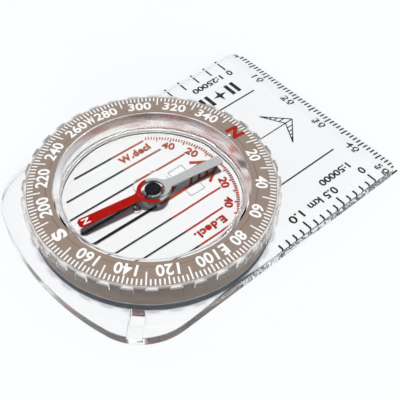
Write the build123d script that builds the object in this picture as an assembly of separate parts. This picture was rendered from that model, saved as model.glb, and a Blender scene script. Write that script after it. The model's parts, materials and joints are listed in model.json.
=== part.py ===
from build123d import *
import math
import os

# Baseplate compass. Millimetres, +Z up, +Y the direction of travel.
# The origin is under the middle of the whole object, on the surface it rests on.

# Plate: clear acrylic, bevelled thin along the front edge, where the ruler is
plate_width = 51.1
plate_length = 75.2
plate_thickness = 2.5
rear_arc_radius = 55.0
rear_corner_radius = 12.0
front_corner_radius = 3.0
edge_round = 0.4
bevel_width = 5.0
front_edge_thickness = 1.0

# Lanyard hole through the rear right corner, in line with the dial's axis, and a channel
# in the plate's top that leads the cord from the hole out to the edge
slot_width = 2.9
slot_length = 2.6
slot_bearing = 135.0
slot_overlap = 0.25
slot_corner_radius = 0.4
channel_depth = 1.0

# Dial: its place along the plate and its stack of radii, from the rim inwards
dial_to_rear_edge = 27.6
dial_side_margin = 0.1
grip_depth = 0.45
grip_lobes = 36
grip_lobe_share = 0.52
grip_offset = 2.5
grip_wall = 0.5
ring_face_width = 4.9
skirt_wall = 0.9
capsule_wall = 1.1
hole_clearance = 0.3

# Dial: its stack of heights above the resting surface
dial_height = 9.4
face_drop = 0.4
face_flat_width = 2.0
face_thickness = 0.8
groove_inset = 1.1
groove_width = 0.25
groove_depth = 0.12
grip_height = 2.9
grip_edge = 0.2
skirt_gap = 0.3

# Capsule: a clear cup over a clear base, welded shut and full of liquid
window_drop = 1.4
window_thickness = 1.0
rim_drop = 0.1
rim_width = 0.35
slope_run = 1.1
slope_foot_round = 0.7
wall_foot_round = 0.5
base_gap = 0.2
base_thickness = 1.0
base_ledge = 0.4
boss_radius = 1.3
boss_height = 1.2
stop_radius = 3.8
stop_depth = 0.35
stop_relief = 0.15
plug_radius = 0.7
plug_offset = 4.2

# Retaining ring that snaps round the capsule in a counterbore under the plate
ring_thickness = 0.7
ring_gap = 0.3
ring_groove_depth = 0.2
ring_reach = 1.3

# Needle and its bearing
needle_bearing = 188.3
needle_tip_gap = 2.0
needle_thickness = 0.35
needle_root_width = 1.95
needle_tip_width = 2.25
needle_tip_chamfer = 0.6
needle_root_round = 1.6
hub_ring_radius = 3.2
bush_radius = 2.3
bush_height = 1.2
bush_drop = 0.35
cap_radius = 1.65
cap_gap = 0.2
cap_height = 1.95
cap_drop = 0.45
cap_edge_round = 0.5
cap_roof = 0.35
jewel_radius = 0.8
jewel_height = 0.8
jewel_mouth_radius = 0.5
jewel_cone_depth = 0.5
pin_radius = 0.35
pin_foot_gap = 0.5
pin_cone = 0.9
pin_tip_radius = 0.04
pivot_play = 0.05
sweep_gap = 0.3

# Printed ink under the capsule's base. Insets are measured in from the circle it is printed in.
dial_bearing = 1.4
ink_thickness = 0.05
print_inset = 1.0
line_width = 0.32
thick_line_width = 0.6
rail_offset = 1.7
rail_start = 0.4
meridian_inset = 2.75
north_end_insets = (3.1, 3.1, 0.5)
arrow_overrun = 0.2
barb_spread = 3.45
barb_length = 5.25
chevron_count = 3
chevron_pitch = 2.2
chevron_drop = 3.0
chevron_rise = 1.9
chevron_width = 0.45
declination_overrun = 0.5
declination_range = (-58, 60)
declination_gap = 3
declination_step = 2
declination_tick_width = 0.26
declination_tick = 0.7
declination_long_tick = 1.15

# Values that follow from the ones above
dial_y = -plate_length / 2 + dial_to_rear_edge
grip_radius = plate_width / 2 - dial_side_margin
recess_radius = grip_radius - grip_depth
face_radius = recess_radius - grip_wall
capsule_radius = face_radius - ring_face_width
liquid_radius = capsule_radius - capsule_wall
base_radius = liquid_radius + base_ledge
hole_radius = capsule_radius + hole_clearance
skirt_bottom = plate_thickness + skirt_gap
rim_top = dial_height - rim_drop
grip_top = dial_height - face_drop
window_top = dial_height - window_drop
liquid_top = window_top - window_thickness
floor_top = base_gap + base_thickness
stop_bottom = liquid_top - stop_depth
ring_bottom = base_gap + ink_thickness
ring_top = ring_bottom + ring_thickness
ring_outer_radius = capsule_radius + ring_reach
counterbore_radius = ring_outer_radius + ring_gap
counterbore_depth = ring_top + ring_gap
needle_radius = liquid_radius - needle_tip_gap
cap_top = stop_bottom - cap_gap
cap_bottom = cap_top - cap_height
needle_bottom = cap_bottom + cap_drop
needle_top = needle_bottom + needle_thickness
bush_bottom = needle_bottom - bush_drop
jewel_top = cap_top - cap_roof
jewel_bottom = jewel_top - jewel_height
pin_tip = jewel_bottom + jewel_cone_depth - pivot_play
pin_bottom = base_gap + pin_foot_gap
print_radius = liquid_radius - print_inset
meridian_spacing = (print_radius - meridian_inset - rail_offset) / 3
meridian_offsets = [rail_offset + meridian_spacing * step for step in (1, 2, 3)]
arrow_apex = print_radius + arrow_overrun


def at_dial(part):
    return Pos(0, dial_y, 0) * part


def turned_to(part, bearing):
    # a bearing is measured clockwise from the direction of travel
    return Rot(0, 0, -bearing) * part


def turned_profile(points):
    # a closed profile of (radius, height) points, turned about the dial's axis
    profile = make_face(Polyline([(radius, 0, height) for radius, height in points], close=True))
    return revolve(profile, axis=Axis.Z)


def plate_outline():
    half = plate_width / 2
    front = plate_length / 2
    corner_y = rear_arc_radius - front - math.sqrt(rear_arc_radius**2 - half**2)
    sides = Polyline((half, corner_y), (half, front), (-half, front), (-half, corner_y))
    rear = ThreePointArc((-half, corner_y), (0, -front), (half, corner_y))
    outline = make_face(sides + rear)
    front_corners = outline.vertices().sort_by(Axis.Y)[-2:]
    outline = fillet(front_corners, front_corner_radius)
    rear_corners = outline.vertices().sort_by(Axis.Y)[:2]
    return fillet(rear_corners, rear_corner_radius)


def lanyard_slot():
    inner = grip_radius - slot_overlap
    middle = inner + slot_length / 2
    hole = RectangleRounded(slot_width, slot_length, slot_corner_radius)
    cutter = extrude(Pos(0, middle) * hole, plate_thickness)
    channel = Rectangle(slot_width, plate_width, align=(Align.CENTER, Align.MIN))
    floor = plate_thickness - channel_depth
    cutter += Pos(0, 0, floor) * extrude(Pos(0, middle) * channel, channel_depth)
    return at_dial(turned_to(cutter, slot_bearing))


def ruler_bevel():
    front = plate_length / 2
    wedge = Polyline(
        (0, front - bevel_width, plate_thickness),
        (0, front + bevel_width, 2 * front_edge_thickness - plate_thickness),
        (0, front + bevel_width, plate_thickness),
        close=True,
    )
    return extrude(make_face(wedge), plate_width, dir=(1, 0, 0), both=True)


def baseplate():
    plate = extrude(plate_outline(), plate_thickness)
    plate = fillet(plate.faces().sort_by(Axis.Z)[-1].edges(), edge_round)
    plate -= ruler_bevel()
    plate -= at_dial(extrude(Circle(hole_radius), plate_thickness))
    plate -= at_dial(extrude(Circle(counterbore_radius), counterbore_depth))
    return plate - lanyard_slot()


def graduated_ring():
    # flat printed face that falls a little to its outer edge, and a skirt under it
    groove = capsule_radius + groove_inset
    under = grip_top - face_thickness
    return at_dial(turned_profile([
        (capsule_radius, dial_height),
        (groove - groove_width / 2, dial_height),
        (groove, dial_height - groove_depth),
        (groove + groove_width / 2, dial_height),
        (capsule_radius + face_flat_width, dial_height),
        (face_radius, grip_top),
        (face_radius, skirt_bottom),
        (face_radius - skirt_wall, skirt_bottom),
        (face_radius - skirt_wall, under),
        (capsule_radius, under),
    ]))


def grip_rim():
    # clear rim with square lobes all round for the fingers
    pitch = 2 * math.pi * grip_radius / grip_lobes
    notch = Rectangle(2 * grip_depth, pitch * (1 - grip_lobe_share))
    outline = Circle(grip_radius) - PolarLocations(grip_radius, grip_lobes) * notch
    rim = extrude(outline - Circle(face_radius), grip_height)
    top_edges = rim.faces().sort_by(Axis.Z)[-1].outer_wire().edges()
    rim = chamfer(top_edges, grip_edge)
    return at_dial(Pos(0, 0, grip_top - grip_height) * turned_to(rim, dial_bearing + grip_offset))


def capsule_cover():
    # clear cup, mouth down, with a sloping wall round its window and a stop over the needle's hub
    slope_top = capsule_radius - rim_width
    slope_foot = slope_top - slope_run
    groove_floor = capsule_radius - ring_groove_depth
    cup = turned_profile([
        (0, window_top),
        (slope_foot, window_top),
        (slope_top, rim_top),
        (capsule_radius, rim_top),
        (capsule_radius, ring_top),
        (groove_floor, ring_top),
        (groove_floor, ring_bottom),
        (capsule_radius, ring_bottom),
        (capsule_radius, base_gap),
        (base_radius, base_gap),
        (base_radius, floor_top),
        (liquid_radius, floor_top),
        (liquid_radius, liquid_top),
        (0, liquid_top),
    ])
    circles = cup.edges().filter_by(GeomType.CIRCLE)
    foot = circles.filter_by(lambda e: abs(e.radius - slope_foot) < 0.01)
    cup = fillet(foot, slope_foot_round)
    circles = cup.edges().filter_by(GeomType.CIRCLE)
    corner = circles.filter_by(
        lambda e: abs(e.radius - liquid_radius) < 0.01 and abs(e.center().Z - liquid_top) < 0.01
    )
    cup = fillet(corner, wall_foot_round)
    stop = Pos(0, 0, stop_bottom) * extrude(Circle(stop_radius), stop_depth)
    relief = Pos(0, 0, window_top) * extrude(Circle(stop_radius), stop_relief)
    relief = fillet(relief.faces().sort_by(Axis.Z)[-1].edges(), stop_relief * 0.9)
    return at_dial(cup + stop + relief)


def capsule_base():
    # clear floor disc with a boss for the pivot pin and a hole for filling
    disc = Pos(0, 0, base_gap) * extrude(Circle(base_radius), base_thickness)
    disc += Pos(0, 0, floor_top) * extrude(Circle(boss_radius), boss_height)
    disc -= Pos(0, 0, pin_bottom) * extrude(Circle(pin_radius), floor_top + boss_height)
    disc -= turned_to(Pos(0, -plug_offset) * extrude(Circle(plug_radius), floor_top), dial_bearing)
    return at_dial(disc)


def fill_plug():
    plug = Pos(0, -plug_offset, base_gap) * extrude(Circle(plug_radius), base_thickness)
    return at_dial(turned_to(plug, dial_bearing))


def damping_liquid():
    # everything inside the capsule but the space that the turning needle sweeps
    liquid = turned_profile([
        (0, floor_top),
        (liquid_radius, floor_top),
        (liquid_radius, liquid_top - wall_foot_round),
        (liquid_radius - wall_foot_round, liquid_top),
        (0, liquid_top),
    ])
    hub_sweep = max(hub_ring_radius, stop_radius) + sweep_gap
    blade_sweep = needle_radius + sweep_gap
    swept = turned_profile([
        (0, cap_bottom - sweep_gap),
        (hub_sweep, cap_bottom - sweep_gap),
        (hub_sweep, needle_bottom - sweep_gap),
        (blade_sweep, needle_bottom - sweep_gap),
        (blade_sweep, needle_top + sweep_gap),
        (hub_sweep, needle_top + sweep_gap),
        (hub_sweep, liquid_top),
        (0, liquid_top),
    ])
    boss = Pos(0, 0, floor_top) * extrude(Circle(boss_radius), boss_height)
    pin = extrude(Circle(pin_radius), cap_top)
    return at_dial(liquid - swept - boss - pin)


def retaining_ring():
    inner = capsule_radius - ring_groove_depth
    ring = extrude(Circle(ring_outer_radius) - Circle(inner), ring_thickness)
    return at_dial(Pos(0, 0, ring_bottom) * ring)


def pivot_pin():
    return at_dial(turned_profile([
        (0, pin_bottom),
        (pin_radius, pin_bottom),
        (pin_radius, pin_tip - pin_cone),
        (pin_tip_radius, pin_tip),
        (0, pin_tip),
    ]))


def jewel_cup():
    return at_dial(turned_profile([
        (0, jewel_bottom + jewel_cone_depth),
        (pin_tip_radius + pivot_play, jewel_bottom + jewel_cone_depth),
        (jewel_mouth_radius, jewel_bottom),
        (jewel_radius, jewel_bottom),
        (jewel_radius, jewel_top),
        (0, jewel_top),
    ]))


def hub_cap():
    cap = Pos(0, 0, cap_bottom) * extrude(Circle(cap_radius), cap_height)
    cap = fillet(cap.faces().sort_by(Axis.Z)[-1].edges(), cap_edge_round)
    return at_dial(cap - extrude(Circle(jewel_radius), jewel_top))


def hub_bush():
    sleeve = extrude(Circle(bush_radius) - Circle(cap_radius), bush_height)
    return at_dial(Pos(0, 0, bush_bottom) * sleeve)


def needle_half(tip_round):
    # one painted half of the magnetised strip, along +Y, with its half of the ring round the hub
    root = needle_root_width / 2
    tip = needle_tip_width / 2
    blade = make_face(Polyline(
        (-root, bush_radius),
        (-tip, needle_radius - tip_round),
        (-tip + tip_round, needle_radius),
        (tip - tip_round, needle_radius),
        (tip, needle_radius - tip_round),
        (root, bush_radius),
        close=True,
    ))
    outline = Circle(hub_ring_radius) + blade
    inner_corners = [
        v for v in outline.vertices()
        if abs(math.hypot(v.X, v.Y) - hub_ring_radius) < 0.01 and v.Y > 0 and abs(v.X) < root * 1.5
    ]
    outline = fillet(inner_corners, needle_root_round)
    outline -= Circle(bush_radius)
    outline -= Pos(0, -needle_radius) * Rectangle(2 * needle_radius, 2 * needle_radius)
    return extrude(outline, needle_thickness)


def needle_north():
    half = needle_half(needle_tip_chamfer)
    return at_dial(Pos(0, 0, needle_bottom) * turned_to(half, needle_bearing))


def needle_south():
    half = needle_half(needle_tip_chamfer / 2)
    return at_dial(Pos(0, 0, needle_bottom) * turned_to(half, needle_bearing + 180))


def ink_bar(start, end, width):
    # one straight line of ink from start to end, with square ends
    line = Line(start, end)
    middle = line @ 0.5
    angle = math.degrees(math.atan2(end[1] - start[1], end[0] - start[0]))
    return Pos(middle.X, middle.Y) * Rot(0, 0, angle) * Rectangle(line.length, width)


def ink_under_base(flat):
    ink = Pos(0, 0, base_gap - ink_thickness) * extrude(flat, ink_thickness)
    return at_dial(turned_to(ink, dial_bearing))


def height_on_circle(radius, offset):
    return math.sqrt(radius**2 - offset**2)


def meridian_lines_south():
    # black halves of the lines, and the two thick ones that lead to the orienting arrow
    lines = []
    for side in (-1, 1):
        for offset in meridian_offsets:
            south = -height_on_circle(print_radius, offset)
            lines.append(ink_bar((side * offset, south), (side * offset, 0), line_width))
        south = -height_on_circle(print_radius, rail_offset)
        rail = side * rail_offset
        lines.append(ink_bar((rail, south), (rail, -rail_start), thick_line_width))
    return ink_under_base(Sketch() + lines)


def meridian_lines_north():
    lines = []
    for side in (-1, 1):
        for offset, inset in zip(meridian_offsets, north_end_insets):
            north = height_on_circle(print_radius - inset, offset)
            lines.append(ink_bar((side * offset, 0), (side * offset, north), line_width))
    return ink_under_base(Sketch() + lines)


def orienting_arrow():
    # rails, chevrons between them and an arrowhead over them
    lines = []
    slope = barb_length / barb_spread
    rail_end = arrow_apex - slope * rail_offset
    for side in (-1, 1):
        rail = side * rail_offset
        barb = (side * barb_spread, arrow_apex - barb_length)
        lines.append(ink_bar((rail, rail_start), (rail, rail_end), thick_line_width))
        lines.append(ink_bar(barb, (0, arrow_apex), thick_line_width))
        for step in range(chevron_count):
            apex = arrow_apex - chevron_drop - step * chevron_pitch
            lines.append(ink_bar((rail, apex - chevron_rise), (0, apex), chevron_width))
    return ink_under_base(Sketch() + lines)


def declination_marks():
    # a tick every two degrees either side of the arrow, longer every ten, hanging in from one circle
    outer = print_radius + declination_overrun
    low, high = declination_range
    ticks = []
    angles = [a for a in range(low, high + 1, declination_step) if abs(a) > declination_gap]
    for angle in angles:
        length = declination_long_tick if angle % 10 == 0 else declination_tick
        ticks.append(turned_to(ink_bar((0, outer - length), (0, outer), declination_tick_width), angle))
    return ink_under_base(Sketch() + ticks)


nodes = {
    "baseplate": baseplate,
    "graduated_ring": graduated_ring,
    "grip_rim": grip_rim,
    "capsule_cover": capsule_cover,
    "capsule_base": capsule_base,
    "fill_plug": fill_plug,
    "damping_liquid": damping_liquid,
    "retaining_ring": retaining_ring,
    "pivot_pin": pivot_pin,
    "jewel_cup": jewel_cup,
    "hub_cap": hub_cap,
    "hub_bush": hub_bush,
    "needle_north": needle_north,
    "needle_south": needle_south,
    "meridian_lines_south": meridian_lines_south,
    "meridian_lines_north": meridian_lines_north,
    "orienting_arrow": orienting_arrow,
    "declination_marks": declination_marks,
}

os.makedirs("parts", exist_ok=True)
for name, make in nodes.items():
    export_step(make(), f"parts/{name}.step")
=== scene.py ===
import json
import math

import bmesh
import bpy
from mathutils import Matrix, Vector


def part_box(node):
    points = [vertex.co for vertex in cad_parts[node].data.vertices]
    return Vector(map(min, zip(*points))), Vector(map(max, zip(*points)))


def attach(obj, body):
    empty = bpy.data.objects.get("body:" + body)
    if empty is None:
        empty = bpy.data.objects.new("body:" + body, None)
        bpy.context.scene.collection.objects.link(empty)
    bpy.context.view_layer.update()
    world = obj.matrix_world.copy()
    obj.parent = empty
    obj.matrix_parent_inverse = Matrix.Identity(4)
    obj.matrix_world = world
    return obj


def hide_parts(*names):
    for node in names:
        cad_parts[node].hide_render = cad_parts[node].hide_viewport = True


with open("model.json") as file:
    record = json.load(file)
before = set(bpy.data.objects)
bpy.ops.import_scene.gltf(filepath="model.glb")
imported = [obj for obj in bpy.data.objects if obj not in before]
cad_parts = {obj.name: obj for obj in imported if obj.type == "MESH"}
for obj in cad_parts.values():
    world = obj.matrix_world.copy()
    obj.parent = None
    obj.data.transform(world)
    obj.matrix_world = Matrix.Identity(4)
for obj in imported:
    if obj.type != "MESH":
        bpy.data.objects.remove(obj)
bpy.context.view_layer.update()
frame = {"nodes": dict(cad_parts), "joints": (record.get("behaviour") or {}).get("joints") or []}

# Baseplate compass: materials, printed marks, liquid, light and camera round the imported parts.
# Sizes in the dictionaries are millimetres and degrees; meshes are metres.

mm = 0.001
nodes = frame["nodes"]
dialJoint = next(joint for joint in frame["joints"] if joint["name"] == "dial_turn")
dialAxis = Vector((dialJoint["pos_m"][0], dialJoint["pos_m"][1], 0.0))
dialBearing = 1.4  # the dial is turned this far clockwise from the travel arrow
needleBearing = 188.3  # the red end's bearing on the plate
boxes = {node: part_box(node) for node in nodes}


def halfWidth(node):
    low, high = boxes[node]
    return (high.x - low.x) / 2


def turned(bearing):
    # clockwise from the direction of travel, about the dial's axis
    return Matrix.Translation(dialAxis) @ Matrix.Rotation(math.radians(-bearing), 4, "Z")


def finishPiece(bm, name, body, material, replaced=(), sharpAngle=None):
    mesh = bpy.data.meshes.new(name)
    if sharpAngle is not None:
        for face in bm.faces:
            face.smooth = True
        for edge in bm.edges:
            edge.smooth = edge.calc_face_angle(0.0) < math.radians(sharpAngle)
    bm.to_mesh(mesh)
    bm.free()
    mesh.materials.append(material)
    piece = bpy.data.objects.new(name, mesh)
    bpy.context.scene.collection.objects.link(piece)
    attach(piece, body)
    if replaced:
        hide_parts(*replaced)
    return piece


def join(target, part, place):
    # adds a finished bmesh to another, at its place
    bmesh.ops.transform(part, matrix=place, verts=part.verts)
    mesh = bpy.data.meshes.new("part")
    part.to_mesh(mesh)
    part.free()
    target.from_mesh(mesh)
    bpy.data.meshes.remove(mesh)


def bar(width, length, height):
    # a flat bar centred on the origin
    bm = bmesh.new()
    size = Matrix.Diagonal((width * mm, length * mm, height * mm, 1))
    bmesh.ops.create_cube(bm, size=1, matrix=size)
    return bm


def line(start, end, width, height):
    # a bar of ink from one point to another
    start = Vector(start)
    end = Vector(end)
    way = end - start
    bm = bar(width, way.length, height)
    angle = math.atan2(way.y, way.x) - math.pi / 2
    middle = (start + end) / 2 * mm
    place = Matrix.Translation((middle.x, middle.y, 0)) @ Matrix.Rotation(angle, 4, "Z")
    bmesh.ops.transform(bm, matrix=place, verts=bm.verts)
    return bm


capShare = 0.7  # height of a figure as a share of the font's size


def lettering(words, look):
    # one line of words as a flat solid centred on the origin
    curve = bpy.data.curves.new("lettering", "FONT")
    curve.body = words
    curve.size = look["height"] * mm / capShare
    curve.offset = look["bold"] * mm
    curve.space_character = look.get("spacing", 1.0)
    curve.extrude = look["thickness"] * mm / 2
    curve.resolution_u = 5
    written = bpy.data.objects.new("lettering", curve)
    bpy.context.scene.collection.objects.link(written)
    graph = bpy.context.evaluated_depsgraph_get()
    mesh = bpy.data.meshes.new_from_object(written.evaluated_get(graph))
    bm = bmesh.new()
    bm.from_mesh(mesh)
    bpy.data.objects.remove(written)
    bpy.data.curves.remove(curve)
    bpy.data.meshes.remove(mesh)
    across = [v.co.x for v in bm.verts]
    along = [v.co.y for v in bm.verts]
    middle = Vector(((min(across) + max(across)) / 2, (min(along) + max(along)) / 2, 0))
    bmesh.ops.translate(bm, vec=-middle, verts=bm.verts)
    stretch = look.get("stretch", 1.0)
    if "width" in look:
        stretch = look["width"] * mm / (max(across) - min(across))
    bmesh.ops.scale(bm, vec=(stretch, 1, 1), verts=bm.verts)
    bmesh.ops.remove_doubles(bm, verts=bm.verts, dist=1e-8)
    return bm


def lathe(points, steps, centre=dialAxis):
    # a closed (radius, height) profile spun round an upright axis
    bm = bmesh.new()
    verts = [bm.verts.new((radius * mm, 0, height * mm)) for radius, height in points]
    for first, second in zip(verts, verts[1:] + verts[:1]):
        bm.edges.new((first, second))
    bmesh.ops.spin(
        bm, geom=bm.verts[:] + bm.edges[:], cent=(0, 0, 0), axis=(0, 0, 1),
        angle=2 * math.pi, steps=steps, use_merge=True,
    )
    bmesh.ops.remove_doubles(bm, verts=bm.verts, dist=1e-7)
    bmesh.ops.recalc_face_normals(bm, faces=bm.faces)
    bmesh.ops.translate(bm, vec=centre, verts=bm.verts)
    return bm


sideGaps = {"capsule_cover": -0.02, "capsule_base": 0.02, "grip_rim": 0.02}  # how far each side is let out


def fittedCopy(node, name, material, zoneOf, otherMaterials):
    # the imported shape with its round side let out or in, so that faces that touch don't coincide
    bm = bmesh.new()
    bm.from_mesh(nodes[node].data)
    bmesh.ops.remove_doubles(bm, verts=bm.verts, dist=1e-6)
    grow = 1 + sideGaps[node] * mm / halfWidth(node)
    about = Matrix.Translation(-dialAxis)
    bmesh.ops.scale(bm, vec=(grow, grow, 1), space=about, verts=bm.verts)
    for face in bm.faces:
        face.material_index = zoneOf(face)
    piece = finishPiece(bm, name, "dial", material, [node], sharpAngle=25)
    for other in otherMaterials:
        piece.data.materials.append(other)
    return piece


def capsuleZone(face):
    # 1 where a face of the capsule touches the liquid, 2 on its upright outer wall, 0 elsewhere
    low, high = boxes["damping_liquid"]
    middle = face.calc_center_median()
    slack = 0.03 * mm
    isInside = (middle - dialAxis).xy.length < halfWidth("damping_liquid") + slack
    if isInside and low.z - slack < middle.z < high.z + slack:
        return 1
    isUpright = abs(face.normal.z) < 0.1
    return 2 if isUpright and not isInside else 0


def gripZone(face):
    # 1 on the tops of the lobes, where the painted highlight goes, 0 elsewhere
    facesUp = face.normal.z > 0.5
    return int(facesUp)


class Value:
    # a socket that can stand in a sum
    def __init__(self, shader, socket):
        self.shader = shader
        self.socket = socket

    def __add__(self, other):
        return self.shader.math("ADD", self, other)

    def __radd__(self, other):
        return self.shader.math("ADD", other, self)

    def __rsub__(self, other):
        return self.shader.math("SUBTRACT", other, self)

    def __mul__(self, other):
        return self.shader.math("MULTIPLY", self, other)

    def __rmul__(self, other):
        return self.shader.math("MULTIPLY", other, self)


class Shader:
    # a node tree, of a material or of the world, with one method that adds any node
    def __init__(self, owner):
        self.owner = owner
        owner.use_nodes = True
        self.tree = owner.node_tree
        self.tree.nodes.clear()

    def node(self, kind, settings=None, sockets=None, output=0):
        made = self.tree.nodes.new("ShaderNode" + kind)
        for name, value in (settings or {}).items():
            if name == "stops":
                self.setStops(made.color_ramp, value)
            else:
                setattr(made, name, value)
        for name, value in (sockets or {}).items():
            if isinstance(value, Value):
                self.tree.links.new(value.socket, made.inputs[name])
            else:
                made.inputs[name].default_value = value
        return Value(self, made.outputs[output] if made.outputs else None)

    def setStops(self, ramp, stops):
        for index, (place, colour) in enumerate(stops):
            stop = ramp.elements[index] if index < 2 else ramp.elements.new(place)
            stop.position = place
            stop.color = (*colour, 1)

    def math(self, operation, *values):
        return self.node("Math", {"operation": operation}, dict(enumerate(values)))

    def noise(self, size, detail):
        # size is that of one blotch in millimetres
        point = self.node("TexCoord", output="Object")
        return self.node("TexNoise", sockets={"Vector": point, "Scale": 1 / (size * mm), "Detail": detail})

    def mixColour(self, share, first, second):
        colours = {0: share, 6: (*first, 1), 7: (*second, 1)}
        return self.node("Mix", {"data_type": "RGBA"}, colours, output=2)

    def bump(self, height, depth, strength=1.0):
        return self.node("Bump", sockets={"Height": height, "Distance": depth * mm, "Strength": strength})

    def principled(self, sockets):
        return self.node("BsdfPrincipled", sockets=sockets)

    def mixShader(self, share, first, second):
        return self.node("MixShader", sockets={0: share, 1: first, 2: second})

    def finish(self, surface):
        self.node("OutputMaterial", sockets={"Surface": surface})
        return self.owner


def newShader(name):
    return Shader(bpy.data.materials.new(name))


edgeShadowIor = 1.2  # how soon a clear face throws a shadow as the light grazes it


def clearMaterial(name, look):
    # clear plastic that bends what is seen through it, and lets lamplight and bounced light straight through
    shader = newShader(name)
    smudge = shader.noise(look["smudge"], 3.0)
    gloss = look["gloss"]
    sockets = {
        "Base Color": shader.mixColour(smudge, look["tint"], look["tintDeep"]),
        "Roughness": look["roughness"],
        "IOR": look["ior"],
        "Transmission Weight": 1.0,
        "Specular Tint": (gloss, gloss, gloss, 1),
    }
    if "smear" in look:
        sockets["Roughness"] = look["roughness"] + look["smear"] * smudge
    if "ripple" in look:
        sockets["Normal"] = shader.bump(shader.noise(look["ripple"], 1.0), look["rippleDepth"])
    body = shader.principled(sockets)
    face = shader.node("BsdfTransparent", sockets={"Color": (*look["shadowTint"], 1)})
    edge = shader.node("BsdfTransparent", sockets={"Color": (*look["edgeShadow"], 1)})
    through = shader.mixShader(shader.node("Fresnel", sockets={"IOR": edgeShadowIor}), face, edge)
    isShadow = shader.node("LightPath", output="Is Shadow Ray")
    isDiffuse = shader.node("LightPath", output="Is Diffuse Ray")
    return shader.finish(shader.mixShader(shader.math("MAXIMUM", isShadow, isDiffuse), body, through))


mottleInDrift = 0.15  # how much of the mottle stays where one colour drifts into another


def solidMaterial(name, look):
    # moulded plastic, ink or enamel: mottled colour, uneven gloss and a fine skin
    shader = newShader(name)
    mottle = shader.noise(look["mottle"], 4.0)
    grain = shader.noise(look["grain"], 2.0)
    share = mottle
    if "drift" in look:  # the second colour takes over from left to right
        start, end = (x * mm for x in look["drift"])
        point = shader.node("TexCoord", output="Object")
        sideways = shader.node("SeparateXYZ", sockets={"Vector": point}, output="X")
        across = shader.node("MapRange", sockets={"Value": sideways, "From Min": start, "From Max": end})
        share = (1 - mottleInDrift) * across + mottleInDrift * mottle
    return shader.finish(shader.principled({
        "Base Color": shader.mixColour(share, look["colour"], look["colourTwo"]),
        "Roughness": look["roughness"] + look["uneven"] * mottle,
        "Metallic": look.get("metallic", 0.0),
        "Specular IOR Level": look.get("gloss", 0.5),
        "Normal": shader.bump(grain, look["skinDepth"], look.get("skin", 1.0)),
    }))


clearLooks = {
    "plate": {
        "tint": (1.0, 1.0, 1.0), "tintDeep": (0.99, 0.995, 0.998), "smudge": 9.0,
        "roughness": 0.0, "smear": 0.01, "ior": 1.49, "gloss": 0.35, "ripple": 14.0, "rippleDepth": 0.004,
        "shadowTint": (1.0, 1.0, 1.0), "edgeShadow": (0.12, 0.12, 0.14),
    },
    "capsule": {
        "tint": (1.0, 1.0, 1.0), "tintDeep": (0.995, 0.997, 0.998), "smudge": 6.0,
        "roughness": 0.0, "smear": 0.006, "ior": 1.49, "gloss": 0.06, "ripple": 9.0, "rippleDepth": 0.006,
        "shadowTint": (1.0, 1.0, 1.0), "edgeShadow": (0.45, 0.45, 0.46),
    },
    "capsuleWall": {  # the moulded side wall, less polished than the window
        "tint": (1.0, 0.995, 0.985), "tintDeep": (0.98, 0.97, 0.955), "smudge": 1.2,
        "roughness": 0.13, "smear": 0.13, "ior": 1.49, "gloss": 0.5, "ripple": 1.6, "rippleDepth": 0.02,
        "shadowTint": (1.0, 1.0, 1.0), "edgeShadow": (0.45, 0.45, 0.46),
    },
    "wetPlastic": {  # the same plastic where liquid touches it, so the step in density is small
        "tint": (1.0, 1.0, 1.0), "tintDeep": (0.995, 0.997, 0.998), "smudge": 6.0, "roughness": 0.0,
        "ior": 1.042, "gloss": 0.0, "shadowTint": (1.0, 1.0, 1.0), "edgeShadow": (0.9, 0.9, 0.9),
    },
    "liquid": {
        "tint": (1.0, 1.0, 1.0), "tintDeep": (0.998, 0.998, 0.996), "smudge": 8.0, "roughness": 0.0,
        "ior": 1.001, "gloss": 0.0, "shadowTint": (1.0, 1.0, 1.0), "edgeShadow": (1.0, 1.0, 1.0),
    },
    "grip": {
        "tint": (0.99, 0.965, 0.945), "tintDeep": (0.96, 0.925, 0.895), "smudge": 3.0,
        "roughness": 0.12, "smear": 0.1, "ior": 1.18, "gloss": 1.0, "ripple": 2.0, "rippleDepth": 0.003,
        "shadowTint": (0.8, 0.8, 0.82), "edgeShadow": (0.5, 0.5, 0.5),
    },
    "lobeTopHighlight": {  # the same rim's lobe tops, whiter and rougher, with reflections boosted threefold: a painted highlight
        "tint": (1.0, 0.99, 0.98), "tintDeep": (0.98, 0.96, 0.94), "smudge": 2.0,
        "roughness": 0.3, "smear": 0.15, "ior": 1.49, "gloss": 3.0, "ripple": 1.5, "rippleDepth": 0.01,
        "shadowTint": (0.85, 0.85, 0.86), "edgeShadow": (0.5, 0.5, 0.5),
    },
    "bush": {
        "tint": (0.97, 0.98, 0.98), "tintDeep": (0.92, 0.93, 0.94), "smudge": 1.5,
        "roughness": 0.03, "smear": 0.05, "ior": 1.16, "gloss": 0.5, "ripple": 1.0, "rippleDepth": 0.01,
        "shadowTint": (0.35, 0.35, 0.36), "edgeShadow": (0.3, 0.3, 0.3),
    },
}

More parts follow.
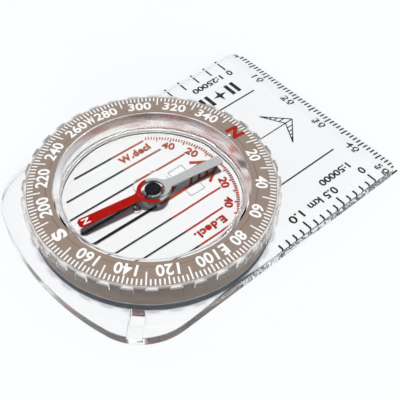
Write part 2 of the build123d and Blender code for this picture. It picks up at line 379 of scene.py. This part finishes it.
solidLooks = {
    "ring": {
        "colour": (0.300, 0.226, 0.183), "colourTwo": (0.262, 0.196, 0.157), "mottle": 2.2, "roughness": 0.32,
        "uneven": 0.12, "grain": 0.12, "skinDepth": 0.006, "skin": 0.6,
    },
    "redInk": {  # thinner, so browner, towards the left
        "colour": (0.44, 0.125, 0.055), "colourTwo": (0.44, 0.020, 0.006), "mottle": 0.5, "roughness": 0.45,
        "uneven": 0.15, "grain": 0.08, "skinDepth": 0.003, "gloss": 0.2, "drift": (-9.0, 6.0),
    },
    # painted highlight: a lighter, greyer brown than the ring, for the light line along the skirt's foot
    "skirtFootHighlight": {
        "colour": (0.42, 0.39, 0.37), "colourTwo": (0.34, 0.31, 0.29), "mottle": 1.5, "roughness": 0.25,
        "uneven": 0.15, "grain": 0.15, "skinDepth": 0.005,
    },
    "northInk": {
        "colour": (0.40, 0.016, 0.007), "colourTwo": (0.34, 0.012, 0.005), "mottle": 0.5, "roughness": 0.45,
        "uneven": 0.15, "grain": 0.08, "skinDepth": 0.003, "gloss": 0.2,
    },
    "blackInk": {
        "colour": (0.003, 0.003, 0.003), "colourTwo": (0.008, 0.008, 0.009), "mottle": 0.5, "roughness": 0.45,
        "uneven": 0.15, "grain": 0.08, "skinDepth": 0.003, "gloss": 0.2,
    },
    "whiteInk": {
        "colour": (0.97, 0.965, 0.955), "colourTwo": (0.91, 0.90, 0.885), "mottle": 0.6, "roughness": 0.4,
        "uneven": 0.15, "grain": 0.08, "skinDepth": 0.004,
    },
    "redEnamel": {
        "colour": (0.43, 0.004, 0.001), "colourTwo": (0.37, 0.003, 0.001), "mottle": 1.2, "roughness": 0.25,
        "uneven": 0.12, "grain": 0.15, "skinDepth": 0.004, "gloss": 0.05,
    },
    "silverEnamel": {
        "colour": (0.52, 0.53, 0.525), "colourTwo": (0.46, 0.47, 0.47), "mottle": 1.5, "roughness": 0.5,
        "uneven": 0.1, "grain": 0.12, "skinDepth": 0.004, "gloss": 0.15,
    },
    "blackCap": {
        "colour": (0.004, 0.005, 0.005), "colourTwo": (0.008, 0.009, 0.009), "mottle": 0.8, "roughness": 0.12,
        "uneven": 0.1, "grain": 0.1, "skinDepth": 0.004, "gloss": 0.04,
    },
    # painted shade: light greys for the edges of clear moulded ridges
    "mouldOutlineShade": {
        "colour": (0.60, 0.61, 0.61), "colourTwo": (0.72, 0.73, 0.73), "mottle": 0.6, "roughness": 0.3,
        "uneven": 0.2, "grain": 0.1, "skinDepth": 0.003,
    },
    "steel": {
        "colour": (0.62, 0.62, 0.63), "colourTwo": (0.46, 0.46, 0.48), "mottle": 1.0, "roughness": 0.22,
        "uneven": 0.2, "grain": 0.1, "skinDepth": 0.003, "metallic": 1.0,
    },
}

print("materials")
clear = {name: clearMaterial("clear_" + name, look) for name, look in clearLooks.items()}
solid = {name: solidMaterial(name, look) for name, look in solidLooks.items()}


keptFinish = {
    "graduated_ring": solid["ring"],
    "retaining_ring": solid["ring"],
    "pivot_pin": solid["steel"],
    "fill_plug": clear["wetPlastic"],
    "jewel_cup": clear["bush"],
    "hub_cap": solid["blackCap"],
    "hub_bush": clear["bush"],
    "needle_north": solid["redEnamel"],
    "needle_south": solid["silverEnamel"],
}


def finishKeptParts():
    for node, material in keptFinish.items():
        slots = nodes[node].material_slots
        for index in range(len(slots)):
            slots[index].material = material


def buildClearParts():
    nodes["baseplate"].material_slots[0].material = clear["plate"]
    zones = [clear["wetPlastic"], clear["capsuleWall"]]
    fittedCopy("capsule_cover", "capsule_window", clear["capsule"], capsuleZone, zones)
    fittedCopy("capsule_base", "capsule_floor", clear["capsule"], capsuleZone, zones)
    fittedCopy("grip_rim", "finger_rim", clear["grip"], gripZone, [clear["lobeTopHighlight"]])


skirtLip = {"inner": 24.3, "outer": 24.62, "bottom": 2.8, "top": 3.1, "steps": 160}


def buildSkirtLip():
    # the moulded lip along the foot of the skirt, coloured lighter than the ring: a painted highlight
    look = skirtLip
    low, high = look["bottom"], look["top"]
    corner = (high - low) / 3
    profile = [
        (look["inner"], low), (look["outer"] - corner, low), (look["outer"], low + corner),
        (look["outer"], high - corner), (look["outer"] - corner, high), (look["inner"], high),
    ]
    bm = lathe(profile, look["steps"])
    finishPiece(bm, "skirt_lip", "dial", solid["skirtFootHighlight"], sharpAngle=60)


inkCopies = {
    "meridian_lines_south": ("black_meridians", "ink_black", "blackInk"),
    "meridian_lines_north": ("red_meridians", "ink_red", "redInk"),
    "orienting_arrow": ("north_arrow", "ink_red", "redInk"),
    "declination_marks": ("declination_ticks", "ink_red", "redInk"),
}
inkBite = 0.02  # how far ink reaches into the plastic it is printed on


def buildDialInk():
    for node, (name, slotName, ink) in inkCopies.items():
        bm = bmesh.new()
        bm.from_mesh(nodes[node].data)
        bmesh.ops.remove_doubles(bm, verts=bm.verts, dist=1e-6)
        bmesh.ops.translate(bm, vec=(0, 0, inkBite * mm), verts=bm.verts)
        finishPiece(bm, name, "dial", solid[ink], [node])


liquid = {
    "bite": 0.02,  # how far it reaches into the plastic all round
    "corner": 0.5,  # the round between wall and window
    "cornerSteps": 6,
    "wall": 1.1,
    "stopRadius": 3.8,
    "stopDepth": 0.35,
    "windowThickness": 1.0,  # that of the capsule's floor too
    "rimToWindow": 1.3,
    "bossRadius": 1.3,
    "steps": 192,
}


def buildLiquid():
    coverHigh = boxes["capsule_cover"][1]
    baseLow, baseHigh = boxes["capsule_base"]
    look = liquid
    bite = look["bite"]
    wall = halfWidth("capsule_cover") / mm - look["wall"] + bite
    top = coverHigh.z / mm - look["rimToWindow"] - look["windowThickness"] + bite
    bossTop = baseHigh.z / mm - bite
    floor = baseLow.z / mm + look["windowThickness"] - bite
    boss = look["bossRadius"] - bite
    profile = [(0, bossTop), (boss, bossTop), (boss, floor), (wall, floor)]
    corner = look["corner"]
    for step in range(look["cornerSteps"] + 1):
        angle = math.pi / 2 * step / look["cornerSteps"]
        profile.append((wall - corner + corner * math.cos(angle), top - corner + corner * math.sin(angle)))
    stop = look["stopRadius"] - bite
    profile += [(stop, top), (stop, top - look["stopDepth"]), (0, top - look["stopDepth"])]
    bm = lathe(profile, look["steps"])
    finishPiece(bm, "capsule_liquid", "dial", clear["liquid"], ["damping_liquid"], sharpAngle=35)


ringPrint = {
    "flatWidth": 2.0, "faceDrop": 0.4,  # the face is level first, then falls this far to its edge
    "proud": 0.02, "thickness": 0.05,
    "tickOuter": 24.38, "tickWidth": 0.30, "step": 2,
    "shortTick": 23.17, "evenTick": 22.8, "oddTick": 21.75,
    "numberInner": 20.35, "numberOuter": 22.6,
    "north": {"inner": 20.3, "outer": 23.0, "width": 3.15, "bold": 0.21, "thickness": 0.07},
    "northDash": (19.75, 20.4), "dashWidth": 0.39,
}


def faceHeight(radius):
    # how far the ring's face has fallen at this radius
    look = ringPrint
    slopeStart = halfWidth("capsule_cover") / mm + look["flatWidth"]
    slopeEnd = halfWidth("graduated_ring") / mm
    share = (radius - slopeStart) / (slopeEnd - slopeStart)
    return -look["faceDrop"] * max(0.0, share)


def layOnRing(part, target, bearing):
    # lays flat ink, drawn along +Y from the axis, on the ring's face at a bearing
    slopeStart = halfWidth("capsule_cover") + ringPrint["flatWidth"] * mm
    ends = [v.co.y for v in part.verts]
    if min(ends) < slopeStart < max(ends):
        geom = part.verts[:] + part.edges[:] + part.faces[:]
        bmesh.ops.bisect_plane(part, geom=geom, plane_co=(0, slopeStart, 0), plane_no=(0, 1, 0))
    faceTop = boxes["graduated_ring"][1].z
    base = faceTop + (ringPrint["proud"] - ringPrint["thickness"] / 2) * mm
    for vert in part.verts:
        vert.co.z += base + faceHeight(vert.co.xy.length / mm) * mm
    join(target, part, turned(bearing + dialBearing))


def tickInner(bearing):
    look = ringPrint
    if bearing % 20 == 10:
        return look["oddTick"]
    return look["evenTick"] if bearing % 10 == 0 else look["shortTick"]


def buildRingTicks():
    look = ringPrint
    bm = bmesh.new()
    for bearing in range(0, 360, look["step"]):
        ends = (0, tickInner(bearing)), (0, look["tickOuter"])
        layOnRing(line(*ends, look["tickWidth"], look["thickness"]), bm, bearing)
    dash = [(0, radius) for radius in look["northDash"]]
    layOnRing(line(*dash, look["dashWidth"], look["thickness"]), bm, 0)
    finishPiece(bm, "bearing_ticks", "dial", solid["whiteInk"])


figure = {"height": 2.25, "bold": 0.085, "spacing": 1.03, "thickness": ringPrint["thickness"]}
figureWidths = [(100, 3.15), (200, 4.3), (360, 4.95)]  # up to this bearing, the figures are this wide
cardinals = {
    90: ("E", {"height": 2.25, "width": 1.4, "bold": 0.09}),
    180: ("S", {"height": 2.35, "width": 2.3, "bold": 0.17}),
    270: ("W", {"height": 2.25, "width": 2.1, "bold": 0.12}),
}


def buildRingFigures():
    look = ringPrint
    middle = (look["numberInner"] + look["numberOuter"]) / 2 * mm
    bm = bmesh.new()
    for bearing in range(20, 360, 20):
        if bearing not in cardinals:
            width = next(width for limit, width in figureWidths if bearing < limit)
            part = lettering(str(bearing), {"width": width, **figure})
            bmesh.ops.translate(part, vec=(0, middle, 0), verts=part.verts)
            layOnRing(part, bm, bearing)
    for bearing, (letter, shape) in cardinals.items():
        part = lettering(letter, {"thickness": look["thickness"], **shape})
        bmesh.ops.translate(part, vec=(0, middle, 0), verts=part.verts)
        layOnRing(part, bm, bearing)
    finishPiece(bm, "bearing_figures", "dial", solid["whiteInk"])
    shape = look["north"]
    part = lettering("N", {"height": shape["outer"] - shape["inner"], **shape})
    middle = (shape["outer"] + shape["inner"]) / 2 * mm
    bmesh.ops.translate(part, vec=(0, middle, 0), verts=part.verts)
    bm = bmesh.new()
    layOnRing(part, bm, 0)
    finishPiece(bm, "north_letter", "dial", solid["northInk"])


dialLetters = {
    "thickness": 0.05,
    "figure": {"height": 1.75, "width": 2.8, "bold": 0.05},
    "figureRadius": 15.6,
    "figures": {-20.5: "20", 20.5: "20", -40.5: "40", 40.5: "40"},
    "word": {"height": 1.65, "width": 7.7, "bold": 0.09, "spacing": 1.12},
    "words": {"W.decl": (-12.8, 4.75, 90), "E.decl.": (12.7, 4.75, -90)},  # x, y and turn
}


def dialInkHeight():
    return boxes["orienting_arrow"][0].z + (inkBite + dialLetters["thickness"] / 2) * mm


def buildDialLetters():
    look = dialLetters
    bm = bmesh.new()
    lift = Matrix.Translation((0, 0, dialInkHeight()))
    for angle, words in look["figures"].items():
        part = lettering(words, {"thickness": look["thickness"], **look["figure"]})
        bmesh.ops.translate(part, vec=(0, look["figureRadius"] * mm, 0), verts=part.verts)
        join(bm, part, lift @ turned(angle + dialBearing))
    for words, (x, y, turn) in look["words"].items():
        part = lettering(words, {"thickness": look["thickness"], **look["word"]})
        place = Matrix.Translation((x * mm, y * mm, 0)) @ Matrix.Rotation(math.radians(turn), 4, "Z")
        join(bm, part, lift @ turned(dialBearing) @ place)
    finishPiece(bm, "declination_letters", "dial", solid["redInk"])


floorMarks = {
    "wedge": [(0, 6.2), (-0.95, 4.2), (0.95, 4.2)],
    "outlineX": (1.9, 4.0), "outlineY": (6.9, 10.6), "outlineWidth": 0.13, "thickness": 0.05,
    "rimShadeCentre": (0, -4.15), "rimShadeRadius": 0.66, "rimShadeHalf": 0.14, "rimShadeSides": 12, "rimShadeSteps": 32,
}


def flatPlate(corners, thickness):
    # a thin solid with these corners, standing on the origin's level
    bm = bmesh.new()
    face = bm.faces.new([bm.verts.new((x * mm, y * mm, 0)) for x, y in corners])
    raised = bmesh.ops.extrude_face_region(bm, geom=[face])
    top = [v for v in raised["geom"] if isinstance(v, bmesh.types.BMVert)]
    bmesh.ops.translate(bm, vec=(0, 0, thickness * mm), verts=top)
    bmesh.ops.recalc_face_normals(bm, faces=bm.faces)
    return bm


def buildFloorMarks():
    look = floorMarks
    place = Matrix.Translation((0, 0, dialInkHeight())) @ turned(dialBearing)
    bm = bmesh.new()
    join(bm, flatPlate(look["wedge"], look["thickness"] / 2), place)
    finishPiece(bm, "arrow_tail", "dial", solid["redInk"])
    # thin grey lines for the capsule floor's raised moulded outlines; the grey is painted shade, since the
    # clear ridges have no colour of their own
    bm = bmesh.new()
    low, high = look["outlineY"]
    for side in (-1, 1):
        inner, outer = (side * x for x in look["outlineX"])
        for ends in (((inner, low), (inner, high)), ((outer, low), (outer, high))):
            join(bm, line(*ends, look["outlineWidth"], look["thickness"]), place)
        for y in (low, high):
            join(bm, line((inner, y), (outer, y), look["outlineWidth"], look["thickness"]), place)
    finishPiece(bm, "moulded_outline_shade", "dial", solid["mouldOutlineShade"])
    # a black ring round the fill plug: painted shade for the dark look of the clear plug's rim
    floor = boxes["damping_liquid"][0].z
    x, y = look["rimShadeCentre"]
    spot = turned(dialBearing) @ Vector((x * mm, y * mm, floor))
    half = look["rimShadeHalf"]
    angles = [2 * math.pi * step / look["rimShadeSides"] for step in range(look["rimShadeSides"])]
    section = [(look["rimShadeRadius"] + half * math.cos(a), half * math.sin(a)) for a in angles]
    bm = lathe(section, look["rimShadeSteps"], spot)
    finishPiece(bm, "plug_rim_shade", "dial", solid["blackCap"], sharpAngle=60)


plateInk = {"height": 0.035, "thickness": 0.03}
ruler = {
    "first": -24.75, "count": 51, "width": 0.38, "short": 1.27, "long": 1.95, "edgeGap": 0.03,
    "figures": {10: -0.45, 20: -0.45, 30: -0.45, 40: -0.45, 50: -1.85}, "figureInset": 3.3,
    "figure": {"height": 1.65, "bold": 0.035, "stretch": 1.32, "spacing": 1.16},
}
scales = {
    "scale_1_25000": {
        "first": 30.5, "pitch": 4.0, "count": 8, "width": 0.38,
        "outer": -25.3, "inner": -23.05, "longInner": -22.45, "longEvery": 8,
        "labels": [("0", -21.1, 30.5, 1.7, 1.35), ("1:25000", -21.2, 23.6, 1.5, 9.0)],  # x, y, height, width
    },
    "scale_1_50000": {
        "first": 30.7, "pitch": 2.0, "count": 15, "width": 0.42,
        "outer": 24.5, "inner": 23.45, "longInner": 22.45, "longEvery": 5,
        "labels": [
            ("0", 20.8, 30.7, 1.8, 1.4), ("0.5 km", 20.8, 18.55, 1.8, 8.1), ("1.0", 20.8, 10.55, 1.8, 3.7),
            ("1:50000", 17.8, 25.35, 1.6, 8.9),
        ],
    },
}
labelBold = 0.055
guides = {"x": (-12.7, 12.6), "front": 30.7, "back": 7.6, "width": 0.34}
travelArrow = {
    "apex": 30.6, "notch": 28.45, "barb": (5.35, 25.4), "line": 0.24, "rungs": (0.25, 0.45, 0.62),
    "tipFrom": 0.75, "tail": 12.0,
}


def inkPart(target, part):
    join(target, part, Matrix.Translation((0, 0, plateInk["height"] * mm)))


def buildRuler():
    look = ruler
    front = boxes["baseplate"][1].y / mm - look["edgeGap"]
    bm = bmesh.new()
    for step in range(look["count"]):
        x = look["first"] + step
        length = look["long"] if step % 5 == 0 else look["short"]
        inkPart(bm, line((x, front), (x, front - length), look["width"], plateInk["thickness"]))
    for number, shift in look["figures"].items():
        part = lettering(str(number), {"thickness": plateInk["thickness"], **look["figure"]})
        x = look["first"] + number + shift
        bmesh.ops.translate(part, vec=(x * mm, (front - look["figureInset"]) * mm, 0), verts=part.verts)
        inkPart(bm, part)
    finishPiece(bm, "ruler_marks", "plate", solid["blackInk"])


def sideLabels(target, labels):
    # words that read from front to back, tops to the right
    for words, x, y, height, width in labels:
        look = {"height": height, "width": width, "bold": labelBold, "thickness": plateInk["thickness"]}
        part = lettering(words, look)
        place = Matrix.Translation((x * mm, y * mm, 0)) @ Matrix.Rotation(-math.pi / 2, 4, "Z")
        bmesh.ops.transform(part, matrix=place, verts=part.verts)
        inkPart(target, part)


def buildScales():
    for name, look in scales.items():
        bm = bmesh.new()
        for step in range(look["count"]):
            y = look["first"] - step * look["pitch"]
            inner = look["inner"] if step % look["longEvery"] else look["longInner"]
            inkPart(bm, line((look["outer"], y), (inner, y), look["width"], plateInk["thickness"]))
        sideLabels(bm, look["labels"])
        finishPiece(bm, name, "plate", solid["blackInk"])


def buildTravelMarks():
    bm = bmesh.new()
    thick = plateInk["thickness"]
    for x in guides["x"]:
        inkPart(bm, line((x, guides["front"]), (x, guides["back"]), guides["width"], thick))
    look = travelArrow
    inkPart(bm, line((0, look["apex"]), (0, look["tail"]), look["line"], thick))
    apex = Vector((0, look["apex"]))
    notch = Vector((0, look["notch"]))
    for side in (-1, 1):
        barb = Vector((side * look["barb"][0], look["barb"][1]))
        inkPart(bm, line(apex, barb, look["line"], thick))
        inkPart(bm, line(notch, barb, look["line"], thick))
        for share in look["rungs"]:
            inkPart(bm, line(apex.lerp(barb, share), notch.lerp(barb, share), look["line"], thick))
        corners = [apex.lerp(barb, look["tipFrom"]), barb, notch.lerp(barb, look["tipFrom"])]
        inkPart(bm, flatPlate(corners, thick / 2))
    finishPiece(bm, "travel_arrow", "plate", solid["blackInk"])


makerMark = {
    "x": -16.5, "front": 28.6, "back": 18.0, "width": 3.6, "bar": 0.95, "barPitch": 1.75,
    "starRadius": 1.89, "waist": 0.3,
}


def buildMakerMark():
    # a four-pointed star between two pairs of bars
    look = makerMark
    thick = plateInk["thickness"]
    middle = (look["front"] + look["back"]) / 2
    half = look["width"] / 2
    bm = bmesh.new()
    for end, way in ((look["front"], -1), (look["back"], 1)):
        for step in (0, 1):
            y = end + way * (look["bar"] / 2 + step * look["barPitch"])
            inkPart(bm, line((look["x"] - half, y), (look["x"] + half, y), look["bar"], thick))
    star = bmesh.new()
    bmesh.ops.create_circle(star, cap_ends=True, segments=8, radius=look["starRadius"] * mm)
    slack = 0.1 * mm
    waists = [v for v in star.verts if abs(v.co.x) > slack and abs(v.co.y) > slack]
    bmesh.ops.scale(star, vec=(look["waist"],) * 3, verts=waists)
    raised = bmesh.ops.extrude_face_region(star, geom=star.faces[:])
    top = [v for v in raised["geom"] if isinstance(v, bmesh.types.BMVert)]
    bmesh.ops.translate(star, vec=(0, 0, thick / 2 * mm), verts=top)
    bmesh.ops.recalc_face_normals(star, faces=star.faces)
    bmesh.ops.translate(star, vec=(look["x"] * mm, middle * mm, 0), verts=star.verts)
    inkPart(bm, star)
    finishPiece(bm, "maker_mark", "plate", solid["blackInk"])


needleLetter = {"height": 1.5, "width": 1.35, "bold": 0.05, "thickness": 0.04, "radius": 14.9, "proud": 0.015}


def buildNeedleLetter():
    look = needleLetter
    part = lettering("N", look)
    bmesh.ops.translate(part, vec=(0, look["radius"] * mm, 0), verts=part.verts)
    top = boxes["needle_north"][1].z + (look["proud"] - look["thickness"] / 2) * mm
    bm = bmesh.new()
    join(bm, part, Matrix.Translation((0, 0, top)) @ turned(needleBearing))
    finishPiece(bm, "needle_letter", "needle", solid["whiteInk"])


studio = {
    "floorSize": 3.0, "floorDrop": 0.05, "floorColour": (0.915, 0.925, 0.94), "floorRoughness": 0.8,
    "floorGloss": 0.1, "speck": 25.0, "speckShade": 0.99,
    "keyStrength": 2.95, "keyAngle": 5.0, "keyLean": (-0.04, 0.04), "keyColour": (1.0, 0.985, 0.96),
    "frontStrength": 0.3, "frontAngle": 20.0, "frontElevation": 16.0,
    "fill": 0.17, "fillColour": (0.64, 0.82, 1.0), "wallColour": (0.97, 0.985, 1.0), "back": 0.955,
    "walls": [(0.0, 0.45), (0.3, 0.55), (0.55, 0.9), (0.9, 0.9), (0.95, 1.0)],  # brightness by height
}
camera = {
    "azimuth": 47.5, "elevation": 49.6, "roll": 1.8, "distance": 152.5, "target": (4.45, -1.24, 1.07),
    "lens": 66.3, "sensor": 36.0, "shiftY": -0.0025, "clipStart": 5.0,
}


def buildFloor():
    shader = newShader("studio_floor")
    speck = shader.noise(studio["speck"], 3.0)
    colour = studio["floorColour"]
    darker = [part * studio["speckShade"] for part in colour]
    material = shader.finish(shader.principled({
        "Base Color": shader.mixColour(speck, colour, darker),
        "Roughness": studio["floorRoughness"],
        "Specular IOR Level": studio["floorGloss"],
    }))
    bm = bmesh.new()
    bmesh.ops.create_grid(bm, x_segments=2, y_segments=2, size=studio["floorSize"] / 2)
    bmesh.ops.translate(bm, vec=(0, 0, -studio["floorDrop"] * mm), verts=bm.verts)
    mesh = bpy.data.meshes.new("floor")
    bm.to_mesh(mesh)
    bm.free()
    mesh.materials.append(material)
    floor = bpy.data.objects.new("floor", mesh)
    bpy.context.scene.collection.objects.link(floor)


def buildLight():
    lamp = bpy.data.lights.new("key", "SUN")
    lamp.energy = studio["keyStrength"]
    lamp.angle = math.radians(studio["keyAngle"])
    lamp.color = studio["keyColour"]
    key = bpy.data.objects.new("key", lamp)
    way = Vector((*studio["keyLean"], -1.0))
    key.rotation_euler = way.to_track_quat("-Z", "Y").to_euler()
    key.visible_glossy = False  # the lamps leave no glare in the clear faces
    bpy.context.scene.collection.objects.link(key)

    # a low lamp from the camera's side lights the skirt
    lamp = bpy.data.lights.new("front", "SUN")
    lamp.energy = studio["frontStrength"]
    lamp.angle = math.radians(studio["frontAngle"])
    front = bpy.data.objects.new("front", lamp)
    low = math.radians(90 - studio["frontElevation"])
    front.rotation_euler = (low, 0, math.radians(camera["azimuth"]))
    front.visible_glossy = False
    bpy.context.scene.collection.objects.link(front)

    world = bpy.data.worlds.new("studio")
    bpy.context.scene.world = world
    shader = Shader(world)
    way = shader.node("TexCoord", output="Generated")
    rise = shader.node("SeparateXYZ", sockets={"Vector": way}, output="Z")
    stops = [(height, (level, level, level)) for height, level in studio["walls"]]
    wall = shader.node("ValToRGB", {"stops": stops}, {"Fac": rise})
    isCamera = shader.node("LightPath", output="Is Camera Ray")
    isGlossy = shader.node("LightPath", output="Is Glossy Ray")
    isThrough = shader.node("LightPath", output="Is Transmission Ray")
    mirrored = shader.math("MAXIMUM", isGlossy, isThrough)
    seen = shader.math("MAXIMUM", isCamera, mirrored)
    strength = isCamera * studio["back"] + mirrored * wall + (1 - seen) * studio["fill"]
    colour = shader.mixColour(seen, studio["fillColour"], studio["wallColour"])
    background = shader.node("Background", sockets={"Color": colour, "Strength": strength})
    shader.node("OutputWorld", sockets={"Surface": background})


def buildCamera():
    lens = bpy.data.cameras.new("camera")
    lens.lens = camera["lens"]
    lens.sensor_width = camera["sensor"]
    lens.shift_y = camera["shiftY"]
    lens.clip_start = camera["clipStart"] * mm
    azimuth, elevation = math.radians(camera["azimuth"]), math.radians(camera["elevation"])
    turn = Matrix.Rotation(azimuth, 4, "Z") @ Matrix.Rotation(math.pi / 2 - elevation, 4, "X")
    turn = turn @ Matrix.Rotation(math.radians(camera["roll"]), 4, "Z")
    back = turn @ Vector((0, 0, camera["distance"] * mm))
    target = Vector(camera["target"]) * mm
    seer = bpy.data.objects.new("camera", lens)
    bpy.context.scene.collection.objects.link(seer)
    seer.matrix_world = Matrix.Translation(target + back) @ turn
    bpy.context.scene.camera = seer


lightPaths = {
    "max_bounces": 24, "transmission_bounces": 24, "glossy_bounces": 24, "transparent_max_bounces": 48,
}

buildCamera()
buildFloor()
buildLight()
bpy.context.scene.view_settings.view_transform = "Standard"
for setting, count in lightPaths.items():
    setattr(bpy.context.scene.cycles, setting, count)
print("studio")
finishKeptParts()
buildClearParts()
buildSkirtLip()
buildLiquid()
print("clear parts")
buildDialInk()
buildDialLetters()
buildFloorMarks()
buildRingTicks()
buildRingFigures()
print("dial marks")
buildRuler()
buildScales()
buildTravelMarks()
buildMakerMark()
buildNeedleLetter()
print("plate marks")
